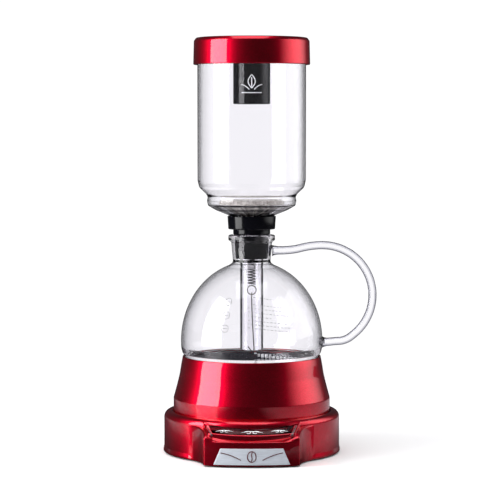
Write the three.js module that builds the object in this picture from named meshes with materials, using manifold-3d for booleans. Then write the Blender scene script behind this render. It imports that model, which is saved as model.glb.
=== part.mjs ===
// An electric siphon coffee maker: a power base, a glass jug with its own heating plate,
// and a glass brewing chamber whose stem stands in the jug, under a lid.
// Millimetres, +Z up. The origin is on the jug's axis, on the table. The control panel faces -Y
// and the jug's handle is on +X.

import * as THREE from 'three';
import { mergeVertices } from 'three/addons/utils/BufferGeometryUtils.js';
import Module from 'manifold-3d';

const wasm = await Module();
wasm.setup();

// ---- Driving dimensions ----

const GAP = 0.3; // left between pieces that touch
const ROUND = 32; // segments round a large circle
const DEGREE = Math.PI / 180;
const FINE = 16; // segments round a small one

// Power base
const BASE_R = 72.6; // outer wall of the round housing
const BASE_FOOT_R = 73.2; // its slight flare at the bottom
const BASE_Z = 1.0; // lower edge of the housing
const BASE_WALL_Z = 29.3; // top of the upright wall
const BASE_RIM_R = 69; // ring round the recess
const BASE_RIM_Z = 34.6;
const RECESS_R = 65.6; // recess that the jug stands in
const RECESS_Z = 31;
const BASE_WALL = 2.6;
const NOSE_HALF = 38; // half width of the control nose
const NOSE_Y = -87.5; // its front, on the centre line
const NOSE_Z = 20.4;
const NOSE_FRONT_R = 134; // curve of its front face
const NOTCH_R = 45.4; // hollow curve between the nose and the round wall
const TIER_HALF = 34.6; // raised tier that carries the window
const TIER_Y = -84.5;
const TIER_BACK = 40.6;
const PANEL_Y = -72.6; // the sloped panel passes through this line
const PANEL_Z = 28.8;
const PANEL_SLOPE = 0.32; // rise per millimetre towards the back
const COVER_Z = 1.6; // underside of the bottom cover
const COVER_T = 2.2;
const COVER_PLAY = 1; // between the cover's edge and the housing's wall
const HUB_R = 12; // moulded hub in the middle of the cover, down to the table
const FOOT_R = 7;
const FOOT_PLACES = [[-42, -42], [42, -42], [-42, 42], [42, 42]];
const SCREW_PLACES = [[-54, 0], [54, 0], [-28, 52], [28, 52]];

// Coupler between the base and the jug
const POST_R = 15.5;
const POST_Z = 41.5;
const CUP_R = 21.5; // outside of the jug's half
const CUP_BORE = 16.2;

// Jug
const JACKET_WALL = 1.4;
const JACKET_Z = 31.9;
const PLATE_R = 55.4;
const PLATE_Z = 77.6; // top of the heating plate
const GLASS = 1.8; // wall of the flask
const FLASK_R = 58.6;
const FLASK_Z = 92; // height of the widest point
const DOME_H = 66; // height of the ellipse above it
const HANDLE_R = 3.4;
const HANDLE_BOW = { x: 58.5, z: 129.5, r: 41.5 }; // circle that the handle's bow follows
const ELEMENT_R = 38; // to the middle of the heating tube
const ELEMENT_Z = 72.3;
const ELEMENT_GAP = 0.35; // half the angle between the tube's two legs
const LEG = 14; // from the tube's ring down to its ends
const PILLAR_RING_R = 51.5;
const PILLAR_PLACES = [90, 210, 330].map((turn) => [
  PILLAR_RING_R * Math.cos(turn * DEGREE), PILLAR_RING_R * Math.sin(turn * DEGREE),
]);

// Brewing chamber
const BOWL_WALL = 2;
const BOWL_R = 44.7;
const BOWL_RIM_Z = 333.8;
const STEM_R = 9.5;
const STEM_BORE = 8;
const STEM_TOP = 190.5;
const STEM_Z = 84.6; // mouth of the stem
const STOPPER_BORE = 9.8;
const HOOK_WIRE = 0.45; // radius
const EYE_R = 1.35; // eye at the top of the wire

// Filter
const SPRING_R = 3.0; // to the middle of the wire
const SPRING_WIRE = 0.42;
const SPRING_Z = 139; // fixed lower end
const SPRING_TOP = 198.4;
const RING_Z = 134;
const RING_R = 3.7;
const BEAD_R = 1.3;
const BEAD_PITCH = 3.45;
const BEADS = 13;

// Lid
const LID_R = 48.1;
const LID_TOP_R = 47.2;
const LID_Z = 319.6;
const LID_TOP = 342.3;
const LID_CEILING = LID_TOP - 3.6; // underside of the cap
const LINER_T = 2;
const STAND_R = 15.2;
const STAND_BORE = 13.4;
const STAND_Z = 286.4;

// ---- Materials ----

const finish = (color, roughness, metalness) =>
  new THREE.MeshStandardMaterial({ color, roughness, metalness });

const red = finish(0xa50f1c, 0.25, 0.9);
const black = finish(0x111112, 0.45, 0);
const rubber = finish(0x161616, 0.7, 0);
const glass = finish(0xe6ecee, 0.05, 0);
const steel = finish(0xc8c9cc, 0.25, 1);
const brass = finish(0xb99345, 0.35, 1);
const cloth = finish(0xe9e1d2, 0.95, 0);
const silicone = finish(0xd9dcdc, 0.6, 0);
const board = finish(0x1d5a35, 0.6, 0);
const darkGlass = finish(0x1a1416, 0.08, 0);

// ---- Helpers ----

const model = new THREE.Group();

function put(name, geometry, material) {
  const mesh = new THREE.Mesh(geometry, material);
  mesh.name = name;
  model.add(mesh);
  return mesh;
}

function solid(geometry) {
  const bare = geometry.clone();
  bare.deleteAttribute('normal');
  bare.deleteAttribute('uv');
  const merged = mergeVertices(bare, 1e-4);
  return new wasm.Manifold(new wasm.Mesh({
    numProp: 3,
    vertProperties: new Float32Array(merged.attributes.position.array),
    triVerts: new Uint32Array(merged.index.array),
  }));
}

function geometryOf(body) {
  const mesh = body.getMesh();
  const geometry = new THREE.BufferGeometry();
  geometry.setAttribute('position', new THREE.BufferAttribute(new Float32Array(mesh.vertProperties), 3));
  geometry.setIndex(new THREE.BufferAttribute(new Uint32Array(mesh.triVerts), 1));
  return geometry;
}

// Turns a profile of [radius, height] points about the vertical axis. A closed profile is a ring.
function turned(profile, segments, closed) {
  const points = profile.map(([r, z]) => new THREE.Vector2(r, z));
  if (closed) points.push(points[0].clone());
  const area = points.reduce((sum, p, i) => {
    const q = points[(i + 1) % points.length];
    return sum + p.x * q.y - q.x * p.y;
  }, 0);
  if (area < 0) points.reverse();
  return new THREE.LatheGeometry(points, segments).rotateX(Math.PI / 2);
}

const disc = (radius, low, high, segments = FINE) =>
  turned([[0, low], [radius, low], [radius, high], [0, high]], segments);

const ring = (inner, outer, low, high, segments = ROUND) =>
  turned([[inner, low], [outer, low], [outer, high], [inner, high]], segments, true);

// An outline in the XY plane, raised from low to high.
function raised(shape, low, high, curveSegments = 8) {
  const geometry = new THREE.ExtrudeGeometry(shape, {
    depth: high - low, bevelEnabled: false, curveSegments,
  });
  return geometry.translate(0, 0, low);
}

// An outline of [y, z] points, drawn out along X from -half to half.
function acrossX(outline, half) {
  const shape = new THREE.Shape(outline.map(([y, z]) => new THREE.Vector2(y, z)));
  const geometry = new THREE.ExtrudeGeometry(shape, { depth: 2 * half, bevelEnabled: false });
  return geometry.translate(0, 0, -half)
    .applyMatrix4(new THREE.Matrix4().set(0, 0, 1, 0, 1, 0, 0, 0, 0, 1, 0, 0, 0, 0, 0, 1));
}

function block([x0, y0, z0], [x1, y1, z1]) {
  return new THREE.BoxGeometry(x1 - x0, y1 - y0, z1 - z0)
    .translate((x0 + x1) / 2, (y0 + y1) / 2, (z0 + z1) / 2);
}

// A round bar of the given radius along a curve.
function bar(curve, radius, steps, sides) {
  const section = new THREE.Shape();
  for (let i = 0; i < sides; i += 1) {
    const a = (2 * Math.PI * i) / sides;
    const [x, y] = [radius * Math.cos(a), radius * Math.sin(a)];
    if (i === 0) section.moveTo(x, y);
    else section.lineTo(x, y);
  }
  return new THREE.ExtrudeGeometry(section, { steps, extrudePath: curve, bevelEnabled: false });
}

const through = (points) =>
  new THREE.CatmullRomCurve3(points.map((p) => new THREE.Vector3(...p)));

// ---- Power base ----

// The outline of the housing: a round wall with a nose in front. inset moves it inwards.
function baseOutline(inset) {
  const r = BASE_R - inset;
  const tangent = r * Math.SQRT1_2;
  const notch = NOTCH_R + inset;
  const centre = (BASE_R + NOTCH_R) * Math.SQRT1_2;
  const front = NOSE_FRONT_R - inset;
  const frontCentre = NOSE_Y + NOSE_FRONT_R;
  const cornerX = NOSE_HALF - inset;
  const cornerY = frontCentre - Math.sqrt(front ** 2 - cornerX ** 2);
  const turn = Math.asin(cornerX / front);
  const end = Math.asin((cornerY + centre) / notch);
  const shape = new THREE.Shape();
  shape.moveTo(tangent, -tangent);
  shape.absarc(0, 0, r, -Math.PI / 4, (5 * Math.PI) / 4, false);
  shape.absarc(-centre, -centre, notch, Math.PI / 4, end, true);
  shape.lineTo(-cornerX, cornerY);
  shape.absarc(0, frontCentre, front, -Math.PI / 2 - turn, -Math.PI / 2 + turn, false);
  shape.absarc(centre, -centre, notch, Math.PI - end, (3 * Math.PI) / 4, true);
  return shape;
}

const panelHeight = (y) => PANEL_Z + PANEL_SLOPE * (y - PANEL_Y);

// The outline of the raised tier, with its front edge on the nose's curve.
function tierOutline(half, frontY, backHalf, backY) {
  const centreY = NOSE_Y + NOSE_FRONT_R;
  const r = centreY - frontY;
  const turn = Math.asin(half / r);
  const shape = new THREE.Shape();
  shape.absarc(0, centreY, r, -Math.PI / 2 - turn, -Math.PI / 2 + turn, false);
  shape.lineTo(backHalf, backY);
  shape.lineTo(-backHalf, backY);
  return shape;
}

// The nose's top falls away at both sides like a quarter of an ellipse.
function noseCrown() {
  const points = [[NOSE_Y - 5, BASE_Z - 1], [NOSE_Y - 5, NOSE_Z], [TIER_Y, NOSE_Z]];
  for (let i = 1; i <= 5; i += 1) {
    const a = (Math.PI / 2) * (i / 5);
    points.push([-52 - 31 * Math.cos(a), NOSE_Z + (BASE_WALL_Z - NOSE_Z) * Math.sin(a)]);
  }
  points.push([90, BASE_WALL_Z], [90, BASE_Z - 1]);
  return points;
}

function panelCut(low) {
  const [front, back] = [NOSE_Y - 10, -40];
  return acrossX([[front, low], [front, panelHeight(front)], [back, panelHeight(back)], [back, low]], 60);
}

const boss = (x, y, radius, low, high) => disc(radius, low, high, 8).translate(x, y, 0);

const INLET = { half: 13.9, low: 5.1, high: 24.9, front: 52 };

function baseHousing() {
  const round = solid(turned([
    [0, BASE_Z], [BASE_FOOT_R, BASE_Z], [BASE_FOOT_R, 2.4], [BASE_R, 6], [BASE_R, BASE_WALL_Z],
    [BASE_R - 1.2, 32.4], [BASE_RIM_R - 0.6, 34.4], [BASE_RIM_R - 2, BASE_RIM_Z],
    [RECESS_R, BASE_RIM_Z - 0.8], [RECESS_R, RECESS_Z], [0, RECESS_Z],
  ], ROUND));
  const nose = solid(raised(baseOutline(0), BASE_Z, BASE_WALL_Z, 6))
    .intersect(solid(acrossX(noseCrown(), 90)));
  const tier = solid(raised(tierOutline(TIER_HALF, TIER_Y, TIER_BACK, -54), 15, 40, 6))
    .intersect(solid(panelCut(10)));
  const shell = round.add(nose.add(tier).subtract(solid(disc(RECESS_R, 20, 60, ROUND))));
  const room = solid(turned([
    [0, BASE_Z - 1], [BASE_R - BASE_WALL, BASE_Z - 1], [BASE_R - BASE_WALL, 28.6], [0, 28.6],
  ], ROUND));
  const noseRoom = solid(raised(baseOutline(BASE_WALL), BASE_Z - 1, NOSE_Z - 2.2, 6));
  let body = shell.subtract(room.add(noseRoom));
  for (const [x, y] of SCREW_PLACES) {
    body = body.add(solid(boss(x, y, 4.2, 6, 29)));
  }
  for (const [x, y] of SCREW_PLACES) {
    body = body.subtract(solid(boss(x, y, 1.8, 2, 20)));
  }
  body = body.subtract(solid(disc(POST_R + 0.6, 20, 40, FINE)));
  body = body.subtract(windowSeat());
  const { half, low, high, front } = INLET;
  return geometryOf(body.subtract(solid(block([-half, front, low], [half, 80, high]))));
}

const WINDOW = { half: 30.6, frontY: -81, backHalf: 34.9, backY: -75.3, backR: 99, deep: 1.4 };

// The window's outline: its front edge on the nose's curve and its back edge on a flatter arc.
function windowOutline(grow) {
  const { half, frontY, backHalf, backY, backR } = WINDOW;
  const centreY = NOSE_Y + NOSE_FRONT_R;
  const r = centreY - frontY + grow;
  const turn = Math.asin((half + grow) / r);
  const back = backR - grow;
  const backTurn = Math.asin((backHalf + grow) / back);
  const shape = new THREE.Shape();
  shape.absarc(0, centreY, r, -Math.PI / 2 - turn, -Math.PI / 2 + turn, false);
  shape.absarc(0, backY + backR, back, -Math.PI / 2 + backTurn, -Math.PI / 2 - backTurn, true);
  return shape;
}

function slopedSlab(shape, above, below) {
  const upper = panelHeight(0);
  const [front, back] = [-100, -40];
  const slab = acrossX([
    [front, upper + PANEL_SLOPE * front + above], [back, upper + PANEL_SLOPE * back + above],
    [back, upper + PANEL_SLOPE * back - below], [front, upper + PANEL_SLOPE * front - below],
  ].reverse(), 60);
  return solid(raised(shape, 10, 45, 6)).intersect(solid(slab));
}

const windowSeat = () => slopedSlab(windowOutline(2.3), 6, WINDOW.deep);

// How far out the window's splayed end is at a depth y, with a gap beyond it.
const endX = (y, gap) => WINDOW.half + gap + 0.229 * (y - WINDOW.frontY + 2);

// The strip between the window and the tier at one end; side is -1 or 1.
function windowTrim(side) {
  const [front, back] = [WINDOW.frontY - 2, -58];
  const strip = new THREE.Shape([
    [endX(front, 0.3), front], [endX(front, 1.9), front], [endX(back, 1.9), back], [endX(back, 0.3), back],
  ].map(([x, y]) => new THREE.Vector2(side * x, y)));
  const all = solid(raised(strip, 10, 45));
  return geometryOf(slopedSlab(windowOutline(2), 0.3, WINDOW.deep - GAP).intersect(all));
}

function controlWindow() {
  const [front, back] = [WINDOW.frontY - 2, -58];
  const middle = new THREE.Shape([
    [-endX(front, 0), front], [endX(front, 0), front], [endX(back, 0), back], [-endX(back, 0), back],
  ].map(([x, y]) => new THREE.Vector2(x, y)));
  const between = solid(raised(middle, 10, 45));
  return geometryOf(slopedSlab(windowOutline(2), 0, WINDOW.deep - GAP).intersect(between));
}

// A plate with slanted ends on the nose's curved front.
function frontBadge() {
  const centreY = NOSE_Y + NOSE_FRONT_R;
  const [inner, outer] = [NOSE_FRONT_R + GAP, NOSE_FRONT_R + 1.1];
  const turn = 0.3;
  const arc = new THREE.Shape();
  arc.absarc(0, centreY, outer, -Math.PI / 2 - turn, -Math.PI / 2 + turn, false);
  arc.absarc(0, centreY, inner, -Math.PI / 2 + turn, -Math.PI / 2 - turn, true);
  const face = new THREE.Shape([[-30.3, 2.2], [30.3, 2.2], [24.8, 15.3], [-24.8, 15.3]]
    .map(([x, z]) => new THREE.Vector2(x, z)));
  const slab = new THREE.ExtrudeGeometry(face, { depth: 40, bevelEnabled: false })
    .rotateX(Math.PI / 2).translate(0, -60, 0);
  return geometryOf(solid(raised(arc, 0, 20, 8)).intersect(solid(slab)));
}

function baseCover() {
  let body = solid(raised(baseOutline(BASE_WALL + COVER_PLAY), COVER_Z, COVER_Z + COVER_T, 12));
  body = body.add(solid(disc(HUB_R, 0, COVER_Z + 1, FINE)));
  for (const [x, y] of SCREW_PLACES) {
    body = body.subtract(solid(boss(x, y, 1.8, 0, 10)));
  }
  return geometryOf(body);
}

const screw = (x, y, low, headR, headT, length) => turned([
  [0, low], [headR * 0.8, low], [headR, low + headT * 0.5], [headR, low + headT],
  [1.4, low + headT], [1.4, low + length], [0, low + length + 1],
], 8).translate(x, y, 0);

// The base's half of the coupler: a post with a flange below the recess and two ring slots on top.
function couplerSocket() {
  return turned([
    [0, 26.4], [23, 26.4], [23, 28.3], [POST_R, 28.3], [POST_R, POST_Z - 1], [POST_R - 1, POST_Z],
    [9.6, POST_Z], [9.6, 34], [7.2, 34], [7.2, POST_Z], [2.9, POST_Z], [2.9, 34], [0, 34],
  ], FINE);
}

// A recess for a mains lead, open to the back, with bevelled upper corners.
function inletHousing() {
  const { half, low, high, front } = INLET;
  const body = solid(block([-half + GAP, front + GAP, low + GAP], [half - GAP, 73.4, high - GAP]));
  const mouth = new THREE.Shape([[-11.5, 8], [11.5, 8], [11.5, 18.4], [7.9, 22], [-7.9, 22], [-11.5, 18.4]]
    .map(([x, z]) => new THREE.Vector2(x, z)));
  const room = new THREE.ExtrudeGeometry(mouth, { depth: 30, bevelEnabled: false })
    .rotateX(Math.PI / 2).translate(0, 56 + 30, 0);
  return geometryOf(body.subtract(solid(room)));
}

const inletPin = (x, z) => block([x - 1, 56 + GAP, z - 2], [x + 1, 67, z + 2]);

function controlBoard() {
  let body = solid(block([-30, -79, 10], [30, -42, 11.6]));
  body = body.add(solid(block([-22, -60, 11], [-10, -50, 17])));
  body = body.add(solid(block([4, -58, 11], [20, -48, 16])));
  body = body.add(solid(disc(4, 11, 17, 10).translate(-2, -72, 0)));
  return geometryOf(body);
}

put('base_housing', baseHousing(), red);
put('base_cover', baseCover(), black);
put('control_window', controlWindow(), darkGlass);
put('window_trim_left', windowTrim(-1), steel);
put('window_trim_right', windowTrim(1), steel);
put('front_badge', frontBadge(), steel);
put('control_board', controlBoard(), board);
put('coupler_socket', couplerSocket(), black);
put('inlet_housing', inletHousing(), black);
put('inlet_pin_live', inletPin(7, 13), brass);
put('inlet_pin_neutral', inletPin(-7, 13), brass);
put('inlet_pin_earth', inletPin(0, 17), brass);
FOOT_PLACES.forEach(([x, y], i) => {
  const foot = turned([[0, 0], [FOOT_R - 0.5, 0], [FOOT_R, 0.6], [FOOT_R, 1.3], [0, 1.3]], 12);
  put(`foot_${i + 1}`, foot.translate(x, y, 0), rubber);
});
SCREW_PLACES.forEach(([x, y], i) => {
  put(`base_screw_${i + 1}`, screw(x, y, 0.3, 3, 1, 13), steel);
});

// ---- Jug ----

const jacketProfile = [
  [64.8, JACKET_Z], [64.8, 45.8], [62.2, 54.4], [59.8, 63.9], [58.2, 73.8], [57.1, 79],
];

function jacket() {
  const outer = [...jacketProfile, [56.6, 79.6]];
  const inner = jacketProfile.slice(1, -1).map(([r, z]) => [r - JACKET_WALL, z - 0.2]).reverse();
  return turned([...outer, [55.8, 79.1], ...inner, [64.8 - JACKET_WALL, JACKET_Z]], ROUND, true);
}

// The flask's outer line from its open bottom to the top of its lip.
function flaskOutline() {
  const points = [[55.2, 79.6], [57.3, 82.1], [58.4, 86.4]];
  for (let i = 0; i <= 7; i += 1) {
    const a = (i / 7) * 1.25;
    points.push([FLASK_R * Math.cos(a), FLASK_Z + DOME_H * Math.sin(a)]);
  }
  points.push([15.5, 159], [16.9, 173.6], [19.2, 175.6], [19, 179], [17.8, 179.9]);
  return points;
}

function flaskGlass() {
  const outer = flaskOutline();
  const inner = [[53.2, 79.6], [55.4, 82.9], [56.6, 86.8]];
  for (let i = 0; i <= 7; i += 1) {
    const a = (i / 7) * 1.24;
    inner.push([(FLASK_R - GLASS) * Math.cos(a), FLASK_Z + (DOME_H - GLASS) * Math.sin(a)]);
  }
  inner.push([13.7, 159], [15.1, 173.6], [16.2, 179.6]);
  return turned([[53.4, 79], [54.6, 79], ...outer, ...inner.reverse()], ROUND, true);
}

// The handle's centre line: out of the neck, round in a bow and back to the flask's widest part.
function handleCurve() {
  const points = [[17.1, 0, 166.7], [27.5, 0, 166.8], [36, 0, 167.7], [44, 0, 169.5], [51, 0, 170.5]];
  for (let i = 0; i <= 9; i += 1) {
    const a = 1.52 - (i / 9) * 2.62;
    points.push([HANDLE_BOW.x + HANDLE_BOW.r * Math.cos(a), 0, HANDLE_BOW.z + HANDLE_BOW.r * Math.sin(a)]);
  }
  points.push([67.8, 0, 91.2], [59.2, 0, 90.6]);
  return through(points);
}

// The tube under the plate: most of a circle, with both ends turned down.
function heatingElement() {
  const start = Math.PI / 2 + ELEMENT_GAP;
  const [x, y] = [ELEMENT_R * Math.cos(start), ELEMENT_R * Math.sin(start)];
  const points = [[x, y, ELEMENT_Z - LEG], [x, y, ELEMENT_Z - 5]];
  for (let i = 1; i <= 16; i += 1) {
    const a = start + ((2 * Math.PI - 2 * ELEMENT_GAP) * i) / 17;
    points.push([ELEMENT_R * Math.cos(a), ELEMENT_R * Math.sin(a), ELEMENT_Z]);
  }
  points.push([-x, y, ELEMENT_Z - 5], [-x, y, ELEMENT_Z - LEG]);
  return bar(through(points), 3.2, 30, 6);
}

// The ring that holds the plate, on three pillars that the bottom's screws go into.
function clampRing() {
  let body = solid(ring(48, 55.4, 72.8, 75.8));
  for (const [x, y] of PILLAR_PLACES) {
    body = body.add(solid(boss(x, y, 3.6, 34.1, 74)));
  }
  for (const [x, y] of PILLAR_PLACES) {
    body = body.subtract(solid(boss(x, y, 1.7, 30, 50)));
  }
  return geometryOf(body);
}

// A countersunk screw; grow widens it to make the hole that it sits in.
function sunkScrew(grow) {
  return turned([
    [0, 31.5 - 3 * grow], [3 + grow, 31.5 - 3 * grow], [3 + grow, 31.7], [1.3 + grow, 33.2],
    [1.3 + grow, 44], [0, 44],
  ], 8);
}

function jugBottom() {
  let body = solid(turned([
    [CUP_R + 0.6, 31.3], [61.5, 31.3], [63.1, 32.6], [63.1, 38], [61.5, 38], [61.5, 33.8],
    [CUP_R + 0.6, 33.8],
  ], ROUND, true));
  for (const [x, y] of PILLAR_PLACES) {
    body = body.subtract(solid(sunkScrew(GAP).translate(x, y, 0)));
  }
  return geometryOf(body);
}

function couplerPlug() {
  return turned([
    [0, 43], [CUP_BORE, 43], [CUP_BORE, 33.2], [CUP_R, 33.2], [CUP_R, 47], [0, 47],
  ], FINE);
}

const thermostat = (x, y) => turned([
  [0, 64], [5, 64], [5, 67], [9, 67], [9, 75.8], [0, 75.8],
], 16).translate(x, y, 0);

function elementLead(side) {
  const x = side * ELEMENT_R * Math.sin(ELEMENT_GAP);
  const y = ELEMENT_R * Math.cos(ELEMENT_GAP);
  const top = ELEMENT_Z - LEG - 0.4;
  const route = through([
    [x, y, top], [x, y - 2, 53], [x * 0.9, y - 14, 50.5], [x * 0.7, y - 22, 49.6], [x * 0.6, y - 23, 48.6],
  ]);
  return bar(route, 1.2, 8, 5);
}

put('flask_glass', flaskGlass(), glass);
put('flask_handle', bar(handleCurve(), HANDLE_R, 26, 8), glass);
put('flask_seal', ring(52.6, 55.3, 77.9, 78.7), silicone);
put('heating_plate', turned([
  [0, PLATE_Z - 1.5], [PLATE_R, PLATE_Z - 1.5], [PLATE_R, PLATE_Z - 0.3], [PLATE_R - 0.4, PLATE_Z],
  [0, PLATE_Z],
], ROUND), steel);
put('heating_element', heatingElement(), steel);
put('clamp_ring', clampRing(), black);
put('thermostat', thermostat(0, -14), black);
put('thermal_cutout', thermostat(0, 12), black);
put('jacket', jacket(), red);
put('jug_bottom', jugBottom(), black);
put('coupler_plug', couplerPlug(), black);
put('coupler_earth_pin', turned([[0, 35.5], [1.4, 35.5], [2.1, 36.5], [2.1, 42.7], [0, 42.7]], 10), brass);
put('coupler_ring_contact', ring(8, 8.8, 35.5, 42.7, 16), brass);
put('element_lead_left', elementLead(-1), rubber);
put('element_lead_right', elementLead(1), rubber);
PILLAR_PLACES.forEach(([x, y], i) => {
  put(`jug_screw_${i + 1}`, sunkScrew(0).translate(x, y, 0), steel);
});

// ---- Brewing chamber ----

const bowlOutside = [
  [36.3, 205], [36.9, 208.3], [36.5, 211.4], [40.2, 215.2], [43.2, 218.6], [44.6, 222.6],
];

function upperGlass() {
  const low = [[34.2, 202.5], [29.5, 200.1], [15, 194.2], [10.6, 192.2], [STEM_R, STEM_TOP + GAP]];
  const outer = [[BOWL_R, BOWL_RIM_Z], ...bowlOutside.slice().reverse(), ...low];
  const inside = [
    [STEM_BORE, STEM_TOP + GAP], [8.4, 193.4], [14.2, 196.1], [28.6, 202], [32.6, 204], [34.3, 205.8],
    [34.8, 208.3], [34.5, 211.6], [36, 214.6], [38.9, 216.8], [41.5, 219.6], [42.7, 223],
    [BOWL_R - BOWL_WALL, BOWL_RIM_Z],
  ];
  return turned([...outer, ...inside], ROUND, true);
}

function stopper() {
  return turned([
    [STOPPER_BORE, 160], [13.2, 160], [14.8, 179.4], [15.3, 180.6], [15.3, 184.4], [19.3, 184.4],
    [20, 195.6], [18.6, 195.2], [14.8, 193.5], [11, 191.5], [STOPPER_BORE, 190.4],
  ], 24, true);
}

// A wire down the stem with an eye round the ring, ending in a hook under the stem's front edge.
function hookWire() {
  const eye = [];
  const centre = RING_Z - RING_R;
  for (let i = 0; i <= 6; i += 1) {
    const a = -2.1 + (i / 6) * (2.1 + Math.PI);
    eye.push([0, EYE_R * Math.sin(a), centre + EYE_R * Math.cos(a)]);
  }
  return bar(through([
    ...eye, [0, -0.6, 126], [0.6, -2, 108], [1.6, -4.5, 90], [1.8, -5.5, 85.4], [1.7, -7.2, 83.4],
    [1, -9.6, 83.4], [-0.6, -10.5, 84.8], [-3, -10.2, 88],
  ]), HOOK_WIRE, 38, 5);
}

put('upper_glass', upperGlass(), glass);
put('siphon_stem', ring(STEM_BORE, STEM_R, STEM_Z, STEM_TOP, 24), glass);
put('stopper', stopper(), rubber);
put('hook_wire', hookWire(), steel);
put('spring_ring', new THREE.TorusGeometry(RING_R, HOOK_WIRE, 4, 14)
  .rotateX(Math.PI / 2).translate(0, 0, RING_Z), steel);

// ---- Filter ----

function filterDisc() {
  let body = solid(turned([[0, 203.4], [25.6, 203.4], [25.6, 204.6], [0, 204.6]], 24));
  const rings = [[9, 5], [18, 9]];
  for (const [radius, count] of rings) {
    for (let i = 0; i < count; i += 1) {
      const a = (2 * Math.PI * i) / count;
      const hole = disc(2, 200, 210, 6).translate(radius * Math.cos(a), radius * Math.sin(a), 0);
      body = body.subtract(solid(hole));
    }
  }
  return geometryOf(body.add(solid(disc(2.2, 198.8, 204, 10))));
}

// The cloth bag round the disc, gathered to a collar below.
function filterCloth() {
  return turned([
    [0, 208], [24.5, 207.8], [27.7, 205.4], [27.2, 202.6], [24, 201.4], [8, 197.6],
    [6.2, 196.4], [6.4, 194.4], [5.4, 194.4], [5.2, 196.8], [6, 198.8], [24, 202.5],
    [26.4, 203.4], [26.6, 205.2], [24, 206.9], [0, 207],
  ], 24);
}

function coil() {
  const points = [];
  const turns = 11;
  const steps = turns * 6;
  for (let i = 0; i <= steps; i += 1) {
    const a = (2 * Math.PI * i) / 6;
    const z = SPRING_Z + ((SPRING_TOP - SPRING_Z) * i) / steps;
    points.push([SPRING_R * Math.cos(a), SPRING_R * Math.sin(a), z]);
  }
  return bar(through(points), SPRING_WIRE, steps, 4);
}

// Steel beads on a wire, from the hook down to the plate and along it.
function beadChain() {
  let body = null;
  let [x, y, z] = [3.2, -9.4, 81.6];
  const rest = PLATE_Z + GAP + BEAD_R;
  for (let i = 0; i < BEADS; i += 1) {
    const bead = solid(new THREE.SphereGeometry(BEAD_R, 6, 4).rotateX(Math.PI / 2).translate(x, y, z));
    body = body ? body.add(bead) : bead;
    const heading = -0.42 - 0.02 * i;
    const nextZ = Math.max(rest, z - 1.6);
    const run = Math.sqrt(BEAD_PITCH ** 2 - (z - nextZ) ** 2);
    const next = [x + run * Math.cos(heading), y + run * Math.sin(heading), nextZ];
    if (i < BEADS - 1) {
      const link = new THREE.LineCurve3(new THREE.Vector3(x, y, z), new THREE.Vector3(...next));
      body = body.add(solid(bar(link, 0.4, 1, 4)));
    }
    [x, y, z] = next;
  }
  return geometryOf(body);
}

put('filter_disc', filterDisc(), steel);
put('filter_cloth', filterCloth(), cloth);
put('filter_drawstring', new THREE.TorusGeometry(7.1, 0.5, 4, 14).translate(0, 0, 195.6), cloth);
put('filter_spring', coil(), steel);
put('boil_chain', beadChain(), steel);

// ---- Lid ----

// A cap with a hollow skirt outside the chamber's rim and a shallow crown on top.
function lidCap() {
  return turned([
    [0, LID_CEILING], [45.4, LID_CEILING], [45.7, LID_Z], [LID_R, LID_Z],
    [LID_TOP_R + 0.1, LID_TOP - 3], [46.4, LID_TOP - 1.2], [44.6, LID_TOP - 0.4], [0, LID_TOP],
  ], ROUND);
}

function lidLiner() {
  const [low, high] = [BOWL_RIM_Z + GAP, LID_CEILING - GAP];
  return turned([
    [STAND_R + 0.4, low], [44, low], [44, high], [42.4, high], [42.4, low + LINER_T],
    [STAND_R + 0.4, low + LINER_T],
  ], ROUND, true);
}

function lidStandTube() {
  const high = LID_CEILING - GAP;
  return turned([
    [0, high - 4.2], [STAND_BORE, high - 4.2], [STAND_BORE, STAND_Z], [STAND_R, STAND_Z],
    [STAND_R, high - 2], [20, high - 2], [20, high], [0, high],
  ], 24);
}

put('lid_cap', lidCap(), red);
put('lid_liner', lidLiner(), black);
put('lid_stand_tube', lidStandTube(), black);

export default model;
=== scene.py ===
import math

import bmesh
import bpy
from mathutils import Matrix, Vector, noise


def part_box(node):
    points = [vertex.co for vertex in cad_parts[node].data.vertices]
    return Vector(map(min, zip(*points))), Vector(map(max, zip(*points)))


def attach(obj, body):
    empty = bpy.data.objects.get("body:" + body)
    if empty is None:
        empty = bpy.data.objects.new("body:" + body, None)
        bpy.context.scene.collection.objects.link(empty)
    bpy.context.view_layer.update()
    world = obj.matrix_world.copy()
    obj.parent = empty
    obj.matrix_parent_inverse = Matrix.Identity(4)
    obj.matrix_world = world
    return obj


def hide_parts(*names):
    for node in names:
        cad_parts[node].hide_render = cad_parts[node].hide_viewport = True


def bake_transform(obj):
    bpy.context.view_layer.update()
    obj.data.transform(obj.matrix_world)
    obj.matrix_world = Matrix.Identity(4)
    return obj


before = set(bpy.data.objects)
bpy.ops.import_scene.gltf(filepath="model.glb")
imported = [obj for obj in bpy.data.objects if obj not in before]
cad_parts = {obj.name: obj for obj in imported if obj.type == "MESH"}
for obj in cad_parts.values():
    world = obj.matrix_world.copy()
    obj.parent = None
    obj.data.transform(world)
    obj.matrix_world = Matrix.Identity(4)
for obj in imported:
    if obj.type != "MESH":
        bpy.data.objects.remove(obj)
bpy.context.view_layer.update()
MM = 0.001

# Camera and studio. A long lens a little above the middle of the coffee maker. Two upright
# softboxes stand beside it, a tall one on the left and a wide one behind on the right, and a
# soft one hangs above. The room is white to the eye and dark in reflections.
camera = bpy.data.objects.new("camera", bpy.data.cameras.new("camera"))
camera.data.lens = 148.3
camera.location = (-0.0014, -1.7, 0.274)
aim = Vector((-0.0014, 0, 0.167)) - camera.location
camera.rotation_euler = aim.to_track_quat("-Z", "Y").to_euler()
bpy.context.scene.collection.objects.link(camera)
bpy.context.scene.camera = camera
bpy.context.scene.view_settings.view_transform = "Standard"


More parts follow.
